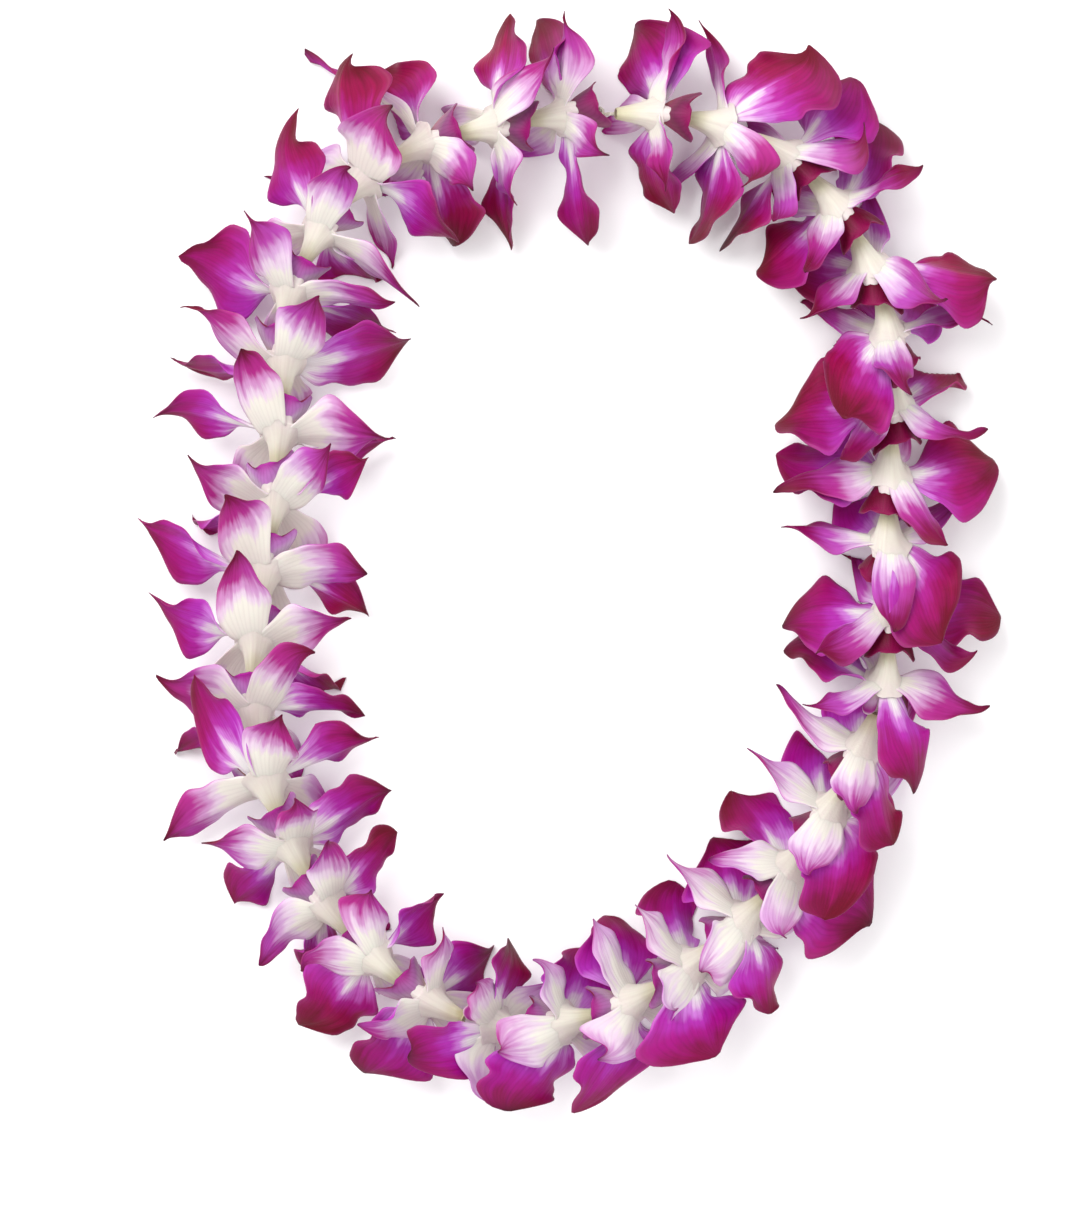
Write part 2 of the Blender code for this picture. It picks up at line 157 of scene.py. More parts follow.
# Tepals that stand out: shares of their length and width, and degrees that they are turned
STANDOUTS = {
    1: {"first petal": (1.0, 1.4, 0)},
    30: {"second petal": (1.05, 1.35, 8)},
    33: {"top sepal": (1.1, 1.8, 0)},
    34: {"first sepal": (1.3, 0.5, -58)},
    35: {"second sepal": (0.8, 1.2, 0), "second petal": (1.12, 0.55, -14)},
    36: {"first petal": (1.0, 1.25, 0), "second petal": (1.25, 0.75, 0)},
}
SEED = 1207
DETAIL_SEED = 8801
MIDLINE_STEPS = 24

# Outlines of the same forms as the solids', with more points, as (share of the length, share of the
# width). On the lip's side the base keeps to the fuller outline of the chin
PETAL_OUTLINE = (
    (0.0, 0.17), (0.12, 0.34), (0.25, 0.64), (0.38, 0.92), (0.5, 1.0), (0.62, 0.95),
    (0.74, 0.78), (0.84, 0.56), (0.92, 0.30), (0.97, 0.12), (1.0, 0.02),
)
SEPAL_OUTLINE = (
    (0.0, 0.55), (0.16, 0.78), (0.33, 1.0), (0.48, 0.96), (0.62, 0.78), (0.76, 0.50),
    (0.86, 0.26), (0.93, 0.12), (1.0, 0.03),
)
LIP_OUTLINE = (
    (0.0, 0.30), (0.14, 0.66), (0.3, 0.92), (0.48, 1.0), (0.65, 0.92), (0.8, 0.74),
    (0.91, 0.5), (1.0, 0.2),
)
BASE_OUTLINE = (
    (0.0, 0.36), (0.3, 0.60), (0.5, 0.82), (0.62, 1.12), (0.665, 1.45), (0.69, 1.2), (0.71, 0.85),
    (0.85, 0.68), (1.0, 0.45),
)
CHIN_OUTLINE = (
    (0.0, 0.36), (0.3, 0.60), (0.5, 0.80), (0.62, 0.92), (0.665, 0.96), (0.69, 0.98), (0.71, 1.0),
    (0.85, 0.96), (1.0, 0.6),
)
CHIN_SHARPNESS = 3.2
COLUMN_OUTLINE = ((0.0, 0.8), (0.55, 0.85), (0.8, 1.0), (0.95, 0.7), (1.0, 0.3))
OUTLINE_STEPS = 8
LEAST_WIDTH = 0.01

# How far the white hearts reach, how dark the lips are, how pale the sepals' backs are and how red
# the tepals are, at equal steps along the strand
HEARTS = (0.12, 0.08, 0.04, 0.02, 0.08, 0.16, 0.14, 0.22, 0.38, 0.40, 0.26, 0.22)
LIP_DARKS = (0.9, 1.0, 1.0, 1.0, 0.9, 0.5, 0.5, 0.4, 0.1, 0.1, 0.3, 0.7)
SEPAL_PALES = (0.1, -0.2, -0.4, -0.3, 0.6, 1.0, 0.8, 0.2, 0.1, 0.1, 0.0, 0.3)
WARMTHS = (0.56, 0.52, 0.50, 0.48, 0.40, 0.28, 0.28, 0.50, 0.56, 0.56, 0.58, 0.60)

# Faces across and along each kind of blade, and how its edges wave and ruffle
SHEETS = {
    "petal": dict(grid=(22, 30), waves=1.5, wave_height=0.0034, ruffle=0.0007),
    "sepal": dict(grid=(14, 28), waves=1.2, wave_height=0.0022, ruffle=0.0004),
    "lip": dict(grid=(24, 22), waves=1.2, wave_height=0.0009, ruffle=0.0002),
}
BASE_SIDES = 28
COLUMN_SIDES = 18
FINE_THICKNESS = 0.00055
ROOT_THICKNESS = 1.4
TIP_THICKNESS = 0.6
EDGE_THINNING = 0.5
EDGE_CROWDING = 0.9
EDGE_SHARPNESS = 2.5
SIDE_PHASE = 1.3
RUFFLES_PER_WAVE = 2.7
MIDRIB_WIDTH = 0.16
MIDRIB_DEPTH = 0.0006
LAYER_STEP = 0.0004
TOUCHING_GAP = 0.00002

# How the colours run: redder towards one side and the tip, whiter at the heart
SIDE_WARMTH = 0.34
TIP_WARMTH = 0.7
TIP_WARMTH_MIDDLE = 0.62
WARMTH_SPREAD = (-0.4, 0.42)
FULL_TONE = 1.1
PALE_TONE = 0.72
EDGE_TONE = 0.10
HEART_SHARE = 0.5
HEART_SPREAD = 0.06
SEPAL_HEART = 0.16
PALE_HEART = 0.2
LIP_HEART = 0.2
LEAST_SEPAL_DARK = 0.3
GRAIN_RANGE = 50

# The photograph's frame in pixels, its scale in metres a pixel, and the pixel of the lei's middle
PHOTO_SIZE = (1078, 1211)
PHOTO_SCALE = 0.00036
PHOTO_MIDDLE = (570.3, 561.1)
# The light makes the pale floor show as white, and the colours are made darker to match it
EXPOSURE = 1.34


def blend(low, high, share):
    return low + (high - low) * share


def towards(heading, distance):
    return distance * math.cos(heading), distance * math.sin(heading)


def outline_width(outline, along):
    shares, widths = zip(*outline)
    return np.interp(along, shares, widths)


def catmull_rom(a, b, c, d, share):
    return 0.5 * (
        2 * b
        + (c - a) * share
        + (2 * a - 5 * b + 4 * c - d) * share**2
        + (3 * b - a - 3 * c + d) * share**3
    )


def smooth_outline(outline):
    """The outline with a smooth curve through its points."""
    points = [np.array(point) for point in outline]
    ends = [2 * points[0] - points[1], *points, 2 * points[-1] - points[-2]]
    smooth = []
    for four in zip(ends, ends[1:], ends[2:], ends[3:]):
        smooth += [catmull_rom(*four, step / OUTLINE_STEPS) for step in range(OUTLINE_STEPS)]
    smooth.append(points[-1])
    return tuple((point[0], max(point[1], LEAST_WIDTH)) for point in smooth)


FINE_PETAL = smooth_outline(PETAL_OUTLINE)
FINE_SEPAL = smooth_outline(SEPAL_OUTLINE)
FINE_LIP = smooth_outline(LIP_OUTLINE)
FINE_BASE = smooth_outline(BASE_OUTLINE)
FINE_CHIN = smooth_outline(CHIN_OUTLINE)
FINE_COLUMN = smooth_outline(COLUMN_OUTLINE)


class Route:
    """The closed line that the cord follows, at its own length."""

    def __init__(self):
        corners = np.array(ROUTE)
        share = np.arange(CORNER_STEPS)[:, None] / CORNER_STEPS
        dense = []
        for index in range(len(corners)):
            four = [corners[(index + shift) % len(corners)] for shift in (-1, 0, 1, 2)]
            dense.append(catmull_rom(*four, share))
        points = self.even(np.concatenate(dense))
        for _ in range(SMOOTHING_ROUNDS):
            before = np.roll(points, SMOOTHING_REACH, axis=0)
            after = np.roll(points, -SMOOTHING_REACH, axis=0)
            points = (before + points + after) / 3
        points = self.even(points)
        length = np.linalg.norm(points - np.roll(points, 1, axis=0), axis=1).sum()
        self.points = points * (STRAND_LENGTH / length) - np.array(BOX_MIDDLE)

    @staticmethod
    def even(points):
        """The same closed line with its points at equal distances."""
        closed = np.vstack((points, points[:1]))
        steps = np.linalg.norm(np.diff(closed, axis=0), axis=1)
        marks = np.concatenate(((0.0,), np.cumsum(steps)))
        targets = marks[-1] * np.arange(ROUTE_STEPS) / ROUTE_STEPS
        return np.stack([np.interp(targets, marks, closed[:, axis]) for axis in (0, 1)], axis=-1)

    def point(self, distance):
        position = np.asarray(distance) / STRAND_LENGTH * ROUTE_STEPS
        index = np.floor(position).astype(int)
        share = (position - index)[..., None]
        here = self.points[index % ROUTE_STEPS]
        following = self.points[(index + 1) % ROUTE_STEPS]
        return blend(here, following, share)

    def place(self, distance, out, up):
        """The world points at distances along the cord, ways out from the loop and ways up."""
        reach = 0.002
        along = self.point(distance + reach) - self.point(distance - reach)
        along /= np.linalg.norm(along, axis=-1, keepdims=True)
        x, y = np.moveaxis(self.point(distance), -1, 0)
        return np.stack((x - along[..., 1] * out, y + along[..., 0] * out, CORD_HEIGHT + up), axis=-1)


def around(values, distance):
    """The value at a distance along the strand, from values at equal steps all the way round."""
    values = np.asarray(values)
    position = np.asarray(distance) / STRAND_LENGTH * len(values)
    index = np.floor(position).astype(int)
    share = position - index
    here, following = values[index % len(values)], values[(index + 1) % len(values)]
    return blend(here, following, share * share * (3 - 2 * share))


def bowl(distance, out, up):
    """How far forward along the cord the layer at a distance lies at this place across the cord."""
    radius = np.hypot(out, up)
    lean = np.tan(np.radians(around(LEANS, distance)))
    return lean * up * radius / (radius + LEAN_RADIUS) + SWEEP * radius


def slope(distance, out, up, across, above):
    """How steeply the bowl rises in one direction of the cross section."""
    reach = 0.0005
    ahead = bowl(distance, out + across * reach, up + above * reach)
    behind = bowl(distance, out - across * reach, up - above * reach)
    return (ahead - behind) / (2 * reach)


class Blade:
    """A petal, a sepal or the lip: a strip that follows its bloom's bowl outwards."""

    def __init__(
        self, start, heading, root, length, width, outline, sharpness, bend, hook, layers, arch, cups, twist
    ):
        self.start = start
        self.heading = heading
        self.root = root
        self.length = length
        self.width = width
        self.outline = outline
        self.sharpness = sharpness
        self.bend = bend
        self.hook = hook
        self.layers = layers
        self.arch = arch
        self.cups = cups
        self.twist = twist
        self.midline = self.march()

    def march(self):
        """Places along the blade, each as out, up and heading, at equal steps of true length."""
        out, up = towards(self.heading, self.root)
        heading = self.heading
        places = [(out, up, heading)]
        step = self.length / MIDLINE_STEPS
        for number in range(MIDLINE_STEPS):
            across, above = math.cos(heading), math.sin(heading)
            advance = step / math.hypot(1.0, slope(self.start, out, up, across, above))
            out += across * advance
            up += above * advance
            late = max(number / MIDLINE_STEPS - HOOK_START, 0.0) / (1 - HOOK_START)
            heading += (self.bend + 2 * self.hook * late / (1 - HOOK_START)) / MIDLINE_STEPS
            places.append((out, up, heading))
        return np.array(places)

    def local(self, along, across):
        """Out, up and layer of the points at shares along the blade and across it, from -1 to 1."""
        steps = np.arange(MIDLINE_STEPS + 1) / MIDLINE_STEPS
        out, up, heading = (np.interp(along, steps, self.midline[:, axis]) for axis in range(3))
        half = self.width / 2 * outline_width(self.outline, along) ** self.sharpness * across
        side, rise = -np.sin(heading), np.cos(heading)
        reach = half / np.hypot(1.0, slope(self.start, out, up, side, rise))
        layer = blend(*self.layers, along**LAYER_GROWTH) + self.arch * np.sin(math.pi * along**2)
        cup = np.where(across < 0, *self.cups)
        cup = cup * np.sin(math.pi * np.minimum(along * CUP_REACH, 1.0))
        layer = layer + cup * np.abs(across) ** CUP_GROWTH
        layer = layer + half * math.tan(self.twist) * along
        return out + side * reach, up + rise * reach, layer


class Shell:
    """Points, faces, slots and colouring values of a bloom as it grows."""

    VALUES = ("along", "across", "tone", "warmth", "dark", "grain")

    def __init__(self):
        self.points = []
        self.faces = []
        self.slots = []
        self.values = {name: [] for name in self.VALUES}
        self.count = 0

    def add(self, points, faces, slots, **values):
        points = points.reshape(-1, 3)
        self.points.append(points)
        self.faces += [tuple(corner + self.count for corner in face) for face in faces]
        self.slots.append(np.asarray(slots))
        for name in self.VALUES:
            self.values[name].append(np.broadcast_to(values[name], len(points)).astype(float))
        self.count += len(points)

    def mesh(self, name):
        made = bpy.data.meshes.new(name)
        made.from_pydata(np.concatenate(self.points), [], self.faces)
        made.polygons.foreach_set("material_index", np.concatenate(self.slots))
        made.shade_smooth()
        for key, parts in self.values.items():
            made.attributes.new(key, "FLOAT", "POINT").data.foreach_set("value", np.concatenate(parts))
        made.update()
        return made


def grid_faces(rows, columns, closed=False):
    """Four-cornered faces of a grid of points, whose columns join up if it is closed."""
    width = columns if closed else columns + 1
    faces = []
    for row in range(rows):
        for column in range(columns):
            here = row * width + column
            beside = row * width + (column + 1) % width
            faces.append((here, beside, beside + width, here + width))
    return np.array(faces)


def blade_faces(rows, columns):
    """Faces of a thin closed blade: its front, its back and the rim between them."""
    front = grid_faces(rows, columns)
    behind = (rows + 1) * (columns + 1)
    back = front[:, ::-1] + behind
    width = columns + 1
    ring = list(range(columns))
    ring += [row * width + columns for row in range(rows)]
    ring += [rows * width + column for column in range(columns, 0, -1)]
    ring += [row * width for row in range(rows, 0, -1)]
    rim = np.array([(b, a, a + behind, b + behind) for a, b in zip(ring, ring[1:] + ring[:1])])
    return front, back, rim


class Bloom:
    """One bloom: its place on the strand, its pieces and the way that it is turned on the cord."""

    def __init__(self, index, route, pitch):
        self.index = index
        self.route = route
        self.start = KNOT_ROOM + index * pitch
        self.pitch = pitch
        self.draw = random.Random(SEED + index)
        self.detail = random.Random(DETAIL_SEED + index)
        self.turn = math.radians(TURNS[index] + self.spread(TURN_SPREAD))
        self.size = 1 + self.spread(SIZE_SPREAD)
        self.breadth = self.size * float(around(BREADTHS, self.start))
        self.sepal_breadth = self.size * float(around(SEPAL_BREADTHS, self.start))
        self.reach = self.size * float(around(REACHES, self.start))
        self.sharpness = float(around(SHARPNESS, self.start))
        self.heart = float(around(HEARTS, self.start)) + self.detail.uniform(-HEART_SPREAD, HEART_SPREAD)
        self.lip_dark = float(around(LIP_DARKS, self.start))
        self.pale = float(around(SEPAL_PALES, self.start))
        self.warmth = float(around(WARMTHS, self.start))

    def spread(self, most):
        return self.draw.uniform(-most, most)

    def world(self, out, up, layer):
        """World points of places in the bloom, kept in its layer and above the surface."""
        up = np.maximum(up, FLOOR_CLEARANCE - CORD_HEIGHT)
        margin = blend(INNER_MARGIN, OUTER_MARGIN, np.minimum(np.hypot(out, up) / OUTER_RADIUS, 1.0))
        distance = self.start + np.clip(layer, margin, self.pitch - margin)
        return self.route.place(distance + bowl(distance, out, up), out, up)

    def blades(self):
        """The five tepals, the back layer first."""
        made = {}
        for name, angle in SEPALS:
            made[name] = dict(
                heading=angle + self.spread(SEPAL_SPREAD),
                root=SEPAL_ROOT,
                length=SEPAL_LENGTH * self.reach * self.draw.uniform(*LENGTH_SPREAD),
                width=SEPAL_WIDTH * self.sepal_breadth,
                outline=FINE_SEPAL,
                sharpness=1.0,
                bend=self.spread(SEPAL_BEND),
                hook=self.spread(SEPAL_HOOK),
                layers=(SEPAL_ROOT_LAYER, self.draw.uniform(*SEPAL_TIP_LAYERS)),
                arch=self.draw.uniform(*SEPAL_ARCH),
                cups=(self.draw.uniform(*SEPAL_CUP), self.draw.uniform(*SEPAL_CUP)),
                twist=self.spread(SEPAL_TWIST),
            )
        for name, angle in PETALS:
            made[name] = dict(
                heading=angle + self.spread(PETAL_SPREAD),
                root=PETAL_ROOT,
                length=PETAL_LENGTH * self.reach * self.draw.uniform(*LENGTH_SPREAD),
                width=PETAL_WIDTH * self.breadth,
                outline=FINE_PETAL,
                sharpness=self.sharpness,
                bend=self.spread(PETAL_BEND),
                hook=self.spread(PETAL_HOOK),
                layers=(PETAL_ROOT_LAYER, self.draw.uniform(*PETAL_TIP_LAYERS)),
                arch=self.draw.uniform(*PETAL_ARCH),
                cups=(self.draw.uniform(*PETAL_CUP), self.draw.uniform(*PETAL_CUP)),
                twist=self.spread(PETAL_TWIST),
            )
        for name, (longer, wider, turned) in STANDOUTS.get(self.index + 1, {}).items():
            made[name]["length"] *= longer
            made[name]["width"] *= wider
            made[name]["heading"] += turned
        return [self.blade(**shape) for shape in made.values()]

    def lip(self):
        return self.blade(
            heading=180,
            root=LIP_ROOT,
            length=LIP_LENGTH * self.size,
            width=LIP_WIDTH * self.size,
            outline=FINE_LIP,
            sharpness=1.0,
            bend=0,
            hook=0,
            layers=LIP_LAYERS,
            arch=0.0,
            cups=(LIP_CUP, LIP_CUP),
            twist=0,
        )

    def blade(self, heading, bend, hook, layers, twist, **shape):
        """A blade from angles in degrees, the heading from the bloom's top, and layers as shares."""
        return Blade(
            start=self.start,
            heading=math.pi / 2 + self.turn + math.radians(heading),
            bend=math.radians(bend),
            hook=math.radians(hook),
            layers=tuple(self.pitch * share for share in layers),
            twist=math.radians(twist),
            **shape,
        )

    def waved(self, blade, kind):
        """A grid of shares along and across a blade, and its places, with waved edges and a midrib."""
        columns, rows = SHEETS[kind]["grid"]
        waves, wave_height, ruffle = (SHEETS[kind][key] for key in ("waves", "wave_height", "ruffle"))
        lengths, breadths = np.linspace(0, 1, rows + 1), np.linspace(-1, 1, columns + 1)
        along, across = np.meshgrid(lengths, breadths, indexing="ij")
        across = np.sign(across) * np.abs(across) ** EDGE_CROWDING
        out, up, layer = blade.local(along, across)
        phase = self.detail.uniform(0, math.tau)
        edge = np.abs(across) ** EDGE_SHARPNESS * np.sqrt(np.sin(math.pi * along))
        turn = math.tau * waves * along
        layer = layer + wave_height * edge * np.sin(turn + phase + SIDE_PHASE * np.sign(across))
        layer = layer + ruffle * edge * np.sin(RUFFLES_PER_WAVE * turn + 2 * phase)
        rib = np.exp(-((across / MIDRIB_WIDTH) ** 2)) * np.sin(math.pi * along)
        return along, across, out, up, layer - MIDRIB_DEPTH * rib

    def colouring(self, along, across, heart, dark, pale):
        """What the materials read at each point of a blade."""
        lean = self.detail.choice((-1, 1))
        warmth = self.warmth + SIDE_WARMTH * lean * across + TIP_WARMTH * (along - TIP_WARMTH_MIDDLE)
        warmth = warmth + self.detail.uniform(*WARMTH_SPREAD)
        white = HEART_SHARE * heart
        tone = (along - white) / (1 - white) * (FULL_TONE - PALE_TONE * pale) + EDGE_TONE * across**2
        grain = self.detail.uniform(0, GRAIN_RANGE)
        return dict(along=along, across=across, tone=tone, warmth=warmth, dark=dark, grain=grain)

    def sheet(self, shell, blade, kind, slot, heart, dark, pale=0.0):
        """A blade as a fine closed sheet, thinner towards its edges and its tip."""
        along, across, out, up, layer = self.waved(blade, kind)
        points = self.world(out, up, layer)
        normal = np.cross(np.gradient(points, axis=1), np.gradient(points, axis=0))
        normal /= np.maximum(np.linalg.norm(normal, axis=-1, keepdims=True), 1e-12)
        forward = self.world(out, up, layer + LAYER_STEP) - self.world(out, up, layer - LAYER_STEP)
        side = np.sign((normal * forward).sum())
        normal *= side
        thick = FINE_THICKNESS * (1 - EDGE_THINNING * across**4)
        thick = thick * blend(ROOT_THICKNESS, TIP_THICKNESS, along)
        front = points + normal * (thick / 2)[..., None]
        back = points - normal * (thick / 2)[..., None]
        if min(front[..., 2].min(), back[..., 2].min()) < 0:
            front[..., 2] = np.maximum(front[..., 2], TOUCHING_GAP)
            back[..., 2] = np.maximum(back[..., 2], 0.0)
        rows, columns = (count - 1 for count in along.shape)
        faces = blade_faces(rows, columns)
        if side > 0:
            faces = [part[:, ::-1] for part in faces]
        slots = [np.full(len(part), slot + shift) for part, shift in zip(faces, (0, 1, 0))]
        values = self.colouring(along, across, heart, dark, pale)
        shell.add(
            np.concatenate((front.reshape(-1, 3), back.reshape(-1, 3))),
            np.concatenate(faces).tolist(),
            np.concatenate(slots),
            **{
                name: np.tile(np.broadcast_to(value, along.shape).ravel(), 2)
                for name, value in values.items()
            },
        )

    def spindle(self, shell, sides, layers, axis, radius, outline, chin_outline, ribs, rib_depth, slot):
        """A closed tapered body along the strand, with an outline of its own on the lip's side."""
        rings = len(outline) - 1
        places, widths = np.transpose(outline)
        chin_widths = np.transpose(chin_outline)[1]
        angles = math.tau * np.arange(sides) / sides
        share, angle = np.meshgrid(places, angles, indexing="ij")
        chin = np.clip(1 - CHIN_SHARPNESS * (1 + np.sin(angle)), 0.0, 1.0)
        width = blend(widths[:, None], chin_widths[:, None], chin)
        reach = radius * width * (1 + rib_depth * np.cos(ribs * angle))
        angle = angle + self.turn
        out = blend(axis[0][0], axis[1][0], share) + reach * np.cos(angle)
        up = blend(axis[0][1], axis[1][1], share) + reach * np.sin(angle)
        points = self.world(out, up, blend(*layers, share))
        ends = [self.world(*np.array((*axis[end], layers[end]))) for end in (0, 1)]
        faces = grid_faces(rings, sides, closed=True)[:, ::-1]
        first, last = (rings + 1) * sides, (rings + 1) * sides + 1
        brim = rings * sides
        caps = [(first, (side + 1) % sides, side) for side in range(sides)]
        caps += [(last, brim + side, brim + (side + 1) % sides) for side in range(sides)]
        values = dict(
            along=np.append(share.ravel(), (0, 1)),
            across=np.append(np.cos(angle - self.turn).ravel(), (0, 0)),
            tone=0.0,
            warmth=0.0,
            dark=0.0,
            grain=self.detail.uniform(0, GRAIN_RANGE),
        )
        faces = faces.tolist() + caps
        shell.add(np.vstack((points.reshape(-1, 3), *ends)), faces, np.full(len(faces), slot), **values)

    def build(self, materials):
        """The whole bloom as one piece, in place of its solid."""
        name = f"orchid_{self.index + 1:02d}"
        shell = Shell()
        slots = {key: number for number, key in enumerate(materials)}
        for number, blade in enumerate(self.blades()):
            shadow = self.detail.random()
            if number < len(SEPALS):
                heart = self.heart + SEPAL_HEART + PALE_HEART * self.pale
                dark = blend(LEAST_SEPAL_DARK, 1.0, shadow)
                self.sheet(shell, blade, "sepal", slots["sepal front"], heart, dark, self.pale)
            else:
                self.sheet(shell, blade, "petal", slots["petal front"], self.heart, shadow**2)
        self.sheet(shell, self.lip(), "lip", slots["lip front"], LIP_HEART, self.lip_dark)
        top = self.turn + math.pi / 2
        self.spindle(
            shell,
            sides=COLUMN_SIDES,
            layers=tuple(self.pitch * share for share in COLUMN_LAYERS),
            axis=(towards(top, COLUMN_FOOT), towards(top, COLUMN_TIP)),
            radius=COLUMN_RADIUS * self.size,
            outline=FINE_COLUMN,
            chin_outline=FINE_COLUMN,
            ribs=2,
            rib_depth=0.06,
            slot=slots["column"],
        )
        self.spindle(
            shell,
            sides=BASE_SIDES,
            layers=(INNER_MARGIN, self.pitch * BASE_FRONT),
            axis=((0.0, 0.0), towards(self.turn - math.pi / 2, CHIN)),
            radius=BASE_RADIUS * self.size,
            outline=FINE_BASE,
            chin_outline=FINE_CHIN,
            ribs=6,
            rib_depth=0.045,
            slot=slots["base"],
        )
        made = bpy.data.objects.new(name, shell.mesh(name))
        bpy.context.scene.collection.objects.link(made)
        for material in materials.values():
            made.data.materials.append(material)
        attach(made, "root")
        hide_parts(f"bloom_{self.index + 1:02d}")


def linear(*colour):
    """A colour as the photograph shows it, from 0 to 1, in the numbers that the shader takes."""
    shown = (part / 12.92 if part <= 0.04045 else ((part + 0.055) / 1.055) ** 2.4 for part in colour)
    return tuple(part / EXPOSURE for part in shown)


# Where a mix node set to colours has its sockets
MIX_SHARE, MIX_FIRST, MIX_SECOND, MIX_RESULT = 0, 6, 7, 2


class Nodes:
    """A material's nodes, made and joined one by one."""

    def __init__(self, name):
        self.material = bpy.data.materials.new(name)
        self.material.use_nodes = True
        self.tree = self.material.node_tree
        self.shader = self.tree.nodes["Principled BSDF"]

    def join(self, value, socket):
        """Links a node's output to a socket, or sets the socket to a plain value."""
        if isinstance(value, bpy.types.NodeSocket):
            self.tree.links.new(value, socket)
        else:
            socket.default_value = value

    def attribute(self, name):
        node = self.tree.nodes.new("ShaderNodeAttribute")
        node.attribute_name = name
        return node.outputs["Fac"]

    def math(self, operation, first, second=0.0, clamp=False):
        node = self.tree.nodes.new("ShaderNodeMath")
        node.operation = operation
        node.use_clamp = clamp
        self.join(first, node.inputs[0])
        self.join(second, node.inputs[1])
        return node.outputs["Value"]

    def plus(self, first, second, clamp=False):
        return self.math("ADD", first, second, clamp)

    def times(self, first, second, clamp=False):
        return self.math("MULTIPLY", first, second, clamp)

    def swing(self, noise, most):
        """A noise from 0 to 1 as a change about nought."""
        return self.times(self.math("SUBTRACT", noise, 0.5), most)

    def noise(self, scale, detail, stretch=(1, 1, 1)):
        """Cloudy noise in space, with its scale in waves a metre."""
        where = self.tree.nodes.new("ShaderNodeTexCoord")
        spread = self.tree.nodes.new("ShaderNodeMapping")
        spread.inputs["Scale"].default_value = stretch
        self.join(where.outputs["Object"], spread.inputs["Vector"])
        node = self.tree.nodes.new("ShaderNodeTexNoise")
        node.inputs["Scale"].default_value = scale
        node.inputs["Detail"].default_value = detail
        self.join(spread.outputs["Vector"], node.inputs["Vector"])
        return node.outputs["Fac"]

    def streaks(self, across_scale, along_scale, detail=3.0):
        """Noise drawn out along a blade, different on each."""
        where = self.tree.nodes.new("ShaderNodeCombineXYZ")
        self.join(self.times(self.attribute("across"), across_scale), where.inputs["X"])
        self.join(self.times(self.attribute("along"), along_scale), where.inputs["Y"])
        self.join(self.attribute("grain"), where.inputs["Z"])
        node = self.tree.nodes.new("ShaderNodeTexNoise")
        node.inputs["Scale"].default_value = 1.0
        node.inputs["Detail"].default_value = detail
        self.join(where.outputs["Vector"], node.inputs["Vector"])
        return node.outputs["Fac"]

    def veins(self, phase):
        """Fine lines along a blade, from 0 between them to 1 on them."""
        wave = self.times(self.plus(self.math("SINE", phase), 1.0), 0.5)
        return self.math("POWER", wave, VEIN_SHARPNESS)

    def edges(self, sharpness):
        """0 over most of a blade, and up to 1 at its two edges."""
        return self.math("POWER", self.math("ABSOLUTE", self.attribute("across")), sharpness)

    def ramp(self, value, stops):
        node = self.tree.nodes.new("ShaderNodeValToRGB")
        node.color_ramp.interpolation = "EASE"
        while len(node.color_ramp.elements) < len(stops):
            node.color_ramp.elements.new(1.0)
        for element, (position, colour) in zip(node.color_ramp.elements, stops):
            element.position = position
            element.color = (*linear(*colour), 1.0)
        self.join(value, node.inputs["Fac"])
        return node.outputs["Color"]

    def mix(self, share, first, second, kind="MIX"):
        node = self.tree.nodes.new("ShaderNodeMix")
        node.data_type = "RGBA"
        node.blend_type = kind
        self.join(share, node.inputs[MIX_SHARE])
        for value, place in ((first, MIX_FIRST), (second, MIX_SECOND)):
            if isinstance(value, tuple):
                value = (*linear(*value), 1.0)
            self.join(value, node.inputs[place])
        return node.outputs[MIX_RESULT]

    def bump(self, height, distance, strength):
        node = self.tree.nodes.new("ShaderNodeBump")
        node.inputs["Strength"].default_value = strength
        node.inputs["Distance"].default_value = distance
        self.join(height, node.inputs["Height"])
        self.join(node.outputs["Normal"], self.shader.inputs["Normal"])

    def surface(self, colour, roughness):
        self.join(colour, self.shader.inputs["Base Color"])
        self.join(roughness, self.shader.inputs["Roughness"])

    def flesh(self, depth=0.12):
        """A petal's faint sheen, and the light that passes a little way into it."""
        self.shader.inputs["Specular IOR Level"].default_value = 0.14
        self.shader.inputs["Sheen Weight"].default_value = 0.02
        self.shader.inputs["Sheen Roughness"].default_value = 0.4
        self.shader.inputs["Subsurface Weight"].default_value = depth
        self.shader.inputs["Subsurface Radius"].default_value = (0.0012, 0.0006, 0.0009)
        self.shader.inputs["Subsurface Scale"].default_value = 1.0


# Colours along each kind of surface, as (share of the way from its root, colour in the photograph)
COOL = (
    (0.0, (1.0, 0.98, 0.98)),
    (0.10, (0.97, 0.88, 0.97)),
    (0.24, (0.88, 0.54, 0.92)),
    (0.42, (0.78, 0.22, 0.78)),
    (0.68, (0.74, 0.06, 0.62)),
    (1.0, (0.66, 0.04, 0.42)),
)
WARM = (
    (0.0, (1.0, 0.97, 0.97)),
    (0.10, (0.96, 0.79, 0.94)),
    (0.24, (0.84, 0.38, 0.78)),
    (0.40, (0.74, 0.10, 0.52)),
    (0.64, (0.66, 0.04, 0.32)),
    (1.0, (0.50, 0.02, 0.17)),
)
SEPAL_COOL = (
    (0.0, (1.0, 0.99, 0.94)),
    (0.16, (0.99, 0.92, 0.98)),
    (0.34, (0.91, 0.73, 0.92)),
    (0.58, (0.79, 0.33, 0.77)),
    (1.0, (0.66, 0.06, 0.46)),
)
SEPAL_WARM = (
    (0.0, (1.0, 0.98, 0.93)),
    (0.14, (0.98, 0.88, 0.96)),
    (0.30, (0.89, 0.62, 0.84)),
    (0.52, (0.76, 0.18, 0.58)),
    (1.0, (0.54, 0.03, 0.24)),
)
LIP_PALE = (
    (0.0, (0.93, 0.91, 0.82)),
    (0.3, (0.90, 0.80, 0.91)),
    (0.6, (0.84, 0.56, 0.86)),
    (1.0, (0.74, 0.16, 0.66)),
)
